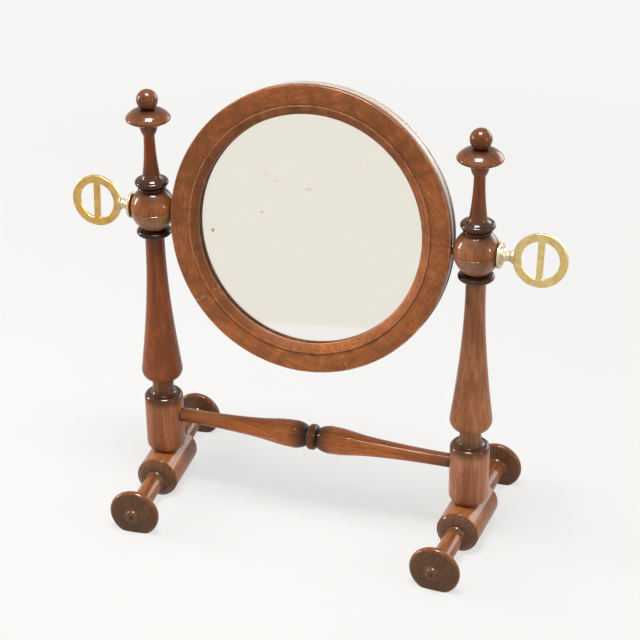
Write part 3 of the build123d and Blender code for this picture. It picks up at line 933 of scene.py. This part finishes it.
def sectionCurve(look):
    curve = bpy.data.curves.new("mouldingSection", "CURVE")
    curve.dimensions = "2D"
    line = curve.splines.new("POLY")
    line.points.add(len(look["section"]) - 1)
    for point, (reach, depth) in zip(line.points, reversed(look["section"])):
        point.co = ((reach - look["pathRadius"]) * mm, -depth * mm, 0.0, 1.0)  # the sweep turns it over
    line.use_cyclic_u = True
    return curve


def makeSegments(look):
    tree = makeSweep(look)
    satin = frameWood(frameLook)
    step = 360.0 / frameJoints["count"]
    gap = look["jointGap"] / frameOuter
    for index in range(frameJoints["count"]):
        name = "frame_piece_" + str(index + 1)
        source = addObject(name + "_section", sectionCurve(look))
        addModifier(source, "sweep", tree, {
            "Path Radius": look["pathRadius"] * mm,
            "Sweep": radians(step) - gap,
            "Arc Points": look["arcSteps"],
            "Turn": radians(frameJoints["first"] + index * step),
            "Lean": mirrorLean,
            "Lift": pivotZ,
            "Hand Work": look["handWork"] * mm,
            "Seed": look["firstSeed"] + look["seedStep"] * index,
            "Material": satin,
        })
        piece = bakePiece(source, name)
        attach(piece, "mirror")
        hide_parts("frame_segment_" + str(index + 1))
        print(name, len(piece.data.polygons), "faces")


makeSegments(segmentLook)

# back screws: one countersunk head set round a circle, each slot left at its own angle

screwLook = {
    "count": 6,
    "circle": 71.6,
    "firstTurn": 30.0,
    "back": -5.8,
    "section": [(0.0, 0.0), (1.95, 0.0), (2.2, 0.14), (2.2, 0.2), (1.1, 1.4), (1.1, 6.9), (0.0, 8.0)],
    "weld": 0.01,
    "slotWidth": 0.6,
    "slotLength": 6.0,
    "slotDepth": 0.6,
    "steps": 48,
    "seed": 5,
}


def sortedMesh(mesh, name):
    spots = [tuple(vertex.co) for vertex in mesh.vertices]  # a cut lists them in no fixed order
    order = sorted(range(len(spots)), key=lambda index: spots[index])
    rank = {old: new for new, old in enumerate(order)}
    faces = []
    for face in mesh.polygons:
        corners = [rank[index] for index in face.vertices]
        first = corners.index(min(corners))
        faces.append(corners[first:] + corners[:first])
    inOrder = bpy.data.meshes.new(name)
    inOrder.from_pydata([spots[old] for old in order], [], sorted(faces))
    return inOrder


def screwMesh(look):
    shape = bmesh.new()
    spots = [shape.verts.new((reach * mm, 0.0, height * mm)) for reach, height in look["section"]]
    edges = [shape.edges.new(pair) for pair in zip(spots, spots[1:])]
    bmesh.ops.spin(
        shape, geom=spots + edges, cent=(0, 0, 0), axis=(0, 0, 1), angle=2 * pi, steps=look["steps"],
        use_merge=True)
    bmesh.ops.remove_doubles(shape, verts=shape.verts, dist=look["weld"] * mm)
    bmesh.ops.recalc_face_normals(shape, faces=shape.faces)
    blank = addObject("screwBlank", toMesh(shape, "screwBlank"))
    cutter = bmesh.new()
    bmesh.ops.create_cube(cutter, size=1.0)
    slotSize = (look["slotWidth"] * mm, look["slotLength"] * mm, look["slotDepth"] * 2 * mm)
    cutter.transform(Matrix.Diagonal((*slotSize, 1.0)))
    slotTool = addObject("screwSlot", toMesh(cutter, "screwSlot"))
    cut = blank.modifiers.new("slot", "BOOLEAN")
    cut.object = slotTool
    cut.operation = "DIFFERENCE"
    cut.solver = "EXACT"
    bpy.context.view_layer.update()
    done = bpy.data.meshes.new_from_object(blank.evaluated_get(bpy.context.evaluated_depsgraph_get()))
    bpy.data.objects.remove(blank)
    bpy.data.objects.remove(slotTool)
    slotted = sortedMesh(done, "screwSlotted")
    slotted.materials.append(dullBrass)
    return slotted


def makeScrewRing():
    tree, given, out = geometryGroup("backScrewRing", {
        "Count": "Int", "Circle": "Float", "First Turn": "Float", "Back": "Float", "Lean": "Float",
        "Lift": "Float", "Seed": "Int", "Material": "Material",
    })
    feeds = {"Vertices": given["Count"], "Radius": given["Circle"]}
    circle = put(tree, "GeometryNodeMeshCircle", feeds).outputs[0]
    feeds = {2: 0.0, 3: pi, "Seed": given["Seed"]}
    slotTurn = put(tree, "FunctionNodeRandomValue", feeds, data_type="FLOAT").outputs[1]
    feeds = {"Points": circle, "Instance": given["Geometry"], "Rotation": combine(tree, z=slotTurn)}
    ringed = put(tree, "GeometryNodeInstanceOnPoints", feeds).outputs[0]
    first = combine(tree, z=given["First Turn"])
    sink = combine(tree, z=given["Back"])
    feeds = {"Geometry": ringed, "Rotation": first, "Translation": sink}
    leanAndDress(tree, given, out, put(tree, "GeometryNodeTransform", feeds).outputs[0])
    return tree


def makeScrews(look):
    source = addObject("back_screw_heads_blank", screwMesh(look))
    addModifier(source, "ring", makeScrewRing(), {
        "Count": look["count"],
        "Circle": look["circle"] * mm,
        "First Turn": radians(look["firstTurn"]),
        "Back": look["back"] * mm,
        "Lean": mirrorLean,
        "Lift": pivotZ,
        "Seed": look["seed"],
        "Material": dullBrass,
    })
    piece = bakePiece(source, "back_screw_set")
    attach(piece, "mirror")
    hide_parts("back_screws")
    print("back screws", len(piece.data.polygons), "faces")


makeScrews(screwLook)


# floor, in metres: paper that looks white to the eye, cream beyond a slanting line, turned up at the front

def seenByEye(tree):
    path = put(tree, "ShaderNodeLightPath").outputs
    return largest(tree, path["Is Camera Ray"], path["Is Glossy Ray"], path["Is Transmission Ray"])


floorLook = {
    "size": 6.0,
    "rise": 1.5,
    "surface": {"Base Color": (0.70, 0.695, 0.685, 1.0), "Roughness": 0.8, "Specular IOR Level": 0.1},
    "glow": (0.925, 0.92, 0.905, 1.0),
    "creamGlow": (0.860, 0.835, 0.770, 1.0),
    "creamAway": (0.634, 0.773, 0.0),
    "creamFrom": -0.785,
    "creamSoft": 0.03,
    "glowNear": (0.25, 0.7),
    "glowFar": (0.75, 1.0),
}


def makeFloor(look):
    half = look["size"] / 2
    mesh = bpy.data.meshes.new("floor")
    corners = [(-half, -half, 0), (half, -half, 0), (half, half, 0), (-half, half, 0)]
    turnedUp = [(half, -half, look["rise"]), (-half, -half, look["rise"])]
    mesh.from_pydata(corners + turnedUp, [], [(0, 1, 2, 3), (1, 0, 5, 4)])
    floor = addObject("floor", mesh)
    material, tree, shader = newMaterial("floorPaper")
    setSurface(shader, look)
    where = objectSpace(tree)
    feeds = {0: where, 1: look["creamAway"]}
    away = put(tree, "ShaderNodeVectorMath", feeds, operation="DOT_PRODUCT").outputs["Value"]
    cream = remap(tree, away, look["creamFrom"], look["creamFrom"] - look["creamSoft"])
    colour = mixColour(tree, cream, look["glow"], look["creamGlow"])
    glow = put(tree, "ShaderNodeEmission", {"Color": colour, "Strength": 1.0}).outputs[0]
    nearReach, nearShare = look["glowNear"]
    farReach, farShare = look["glowFar"]
    share = remap(tree, vectorLength(tree, where), nearReach, farReach, nearShare, farShare)
    share = product(tree, seenByEye(tree), share)
    mix = put(tree, "ShaderNodeMixShader", {0: share, 1: shader.outputs[0], 2: glow}).outputs[0]
    tree.links.new(mix, tree.nodes["Material Output"].inputs[0])
    mesh.materials.append(material)


makeFloor(floorLook)

# white to the eye, softer as light

worldLook = {
    "lit": {"Color": (1.0, 0.99, 0.97, 1.0), "Strength": 0.5},
    "shown": {"Color": (0.93, 0.925, 0.915, 1.0), "Strength": 1.0},
}


def makeWorld(look):
    world = bpy.data.worlds.new("studio")
    world.use_nodes = True
    scene.world = world
    tree = world.node_tree
    tree.nodes.clear()
    lit, shown = (put(tree, "ShaderNodeBackground", look[key]).outputs[0] for key in ("lit", "shown"))
    mix = put(tree, "ShaderNodeMixShader", {0: seenByEye(tree), 1: lit, 2: shown}).outputs[0]
    put(tree, "ShaderNodeOutputWorld", {0: mix})


makeWorld(worldLook)

# lamps in metres and watts; a gloss card is one that only the varnish and brass reflect

lampAim = (0.0, 0.0, 0.15)
lampLooks = {
    "overhead": {
        "place": (0.04, -0.16, 1.15), "aim": lampAim, "size": (0.30, 0.26), "power": 9.0, "gloss": False},
    "glossCard": {
        "place": (0.04, -0.20, 1.20), "aim": lampAim, "size": (0.44, 0.34), "power": 26.0, "gloss": True},
    "leftStrip": {
        "place": (-1.08, -0.08, 0.40), "aim": lampAim, "size": (0.14, 0.4), "power": 8.0, "gloss": False},
    "backCard": {
        "place": (0.62, 1.00, 0.42), "aim": (0.05, 0.0, 0.05), "size": (0.8, 0.5), "power": 8.0,
        "gloss": True},
    "rightSmall": {
        "place": (1.05, -0.15, 0.42), "aim": lampAim, "size": (0.10, 0.2), "power": 2.4, "gloss": False},
}


def makeLamp(name, look):
    light = bpy.data.lights.new(name, "AREA")
    light.shape = "RECTANGLE"
    light.size, light.size_y = look["size"]
    light.energy = look["power"]
    lamp = addObject(name, light)
    lamp.location = look["place"]
    lamp.visible_diffuse = not look["gloss"]
    heading = Vector(look["aim"]) - Vector(look["place"])
    lamp.rotation_euler = heading.to_track_quat("-Z", "Y").to_euler()


for name, look in lampLooks.items():
    makeLamp(name, look)

# camera fitted to the photo: angles in degrees, distances in metres

cameraLook = {
    "azimuth": 19.0574,
    "elevation": 27.95,
    "roll": -0.5608,
    "distance": 0.96686,
    "aim": (0.00476, 0.0, 0.12052),
    "focalPixels": 1782.16,
    "imagePixels": 640.0,
    "sensor": 36.0,
}


def makeCamera(look):
    turn, lift, roll = (radians(look[key]) for key in ("azimuth", "elevation", "roll"))
    back = Vector((sin(turn) * cos(lift), -cos(turn) * cos(lift), sin(lift)))
    right = Vector((cos(turn), sin(turn), 0.0))
    up = back.cross(right)
    rolledRight = right * cos(roll) + up * sin(roll)
    rolledUp = up * cos(roll) - right * sin(roll)
    camera = bpy.data.cameras.new("photoCamera")
    camera.sensor_width = look["sensor"]
    camera.lens = look["focalPixels"] / look["imagePixels"] * look["sensor"]
    cameraObject = addObject("photoCamera", camera)
    place = Vector(look["aim"]) + back * look["distance"]
    turned = Matrix((rolledRight, rolledUp, back)).transposed().to_4x4()
    cameraObject.matrix_world = Matrix.Translation(place) @ turned
    scene.camera = cameraObject


makeCamera(cameraLook)
print("floor, lights and camera placed")
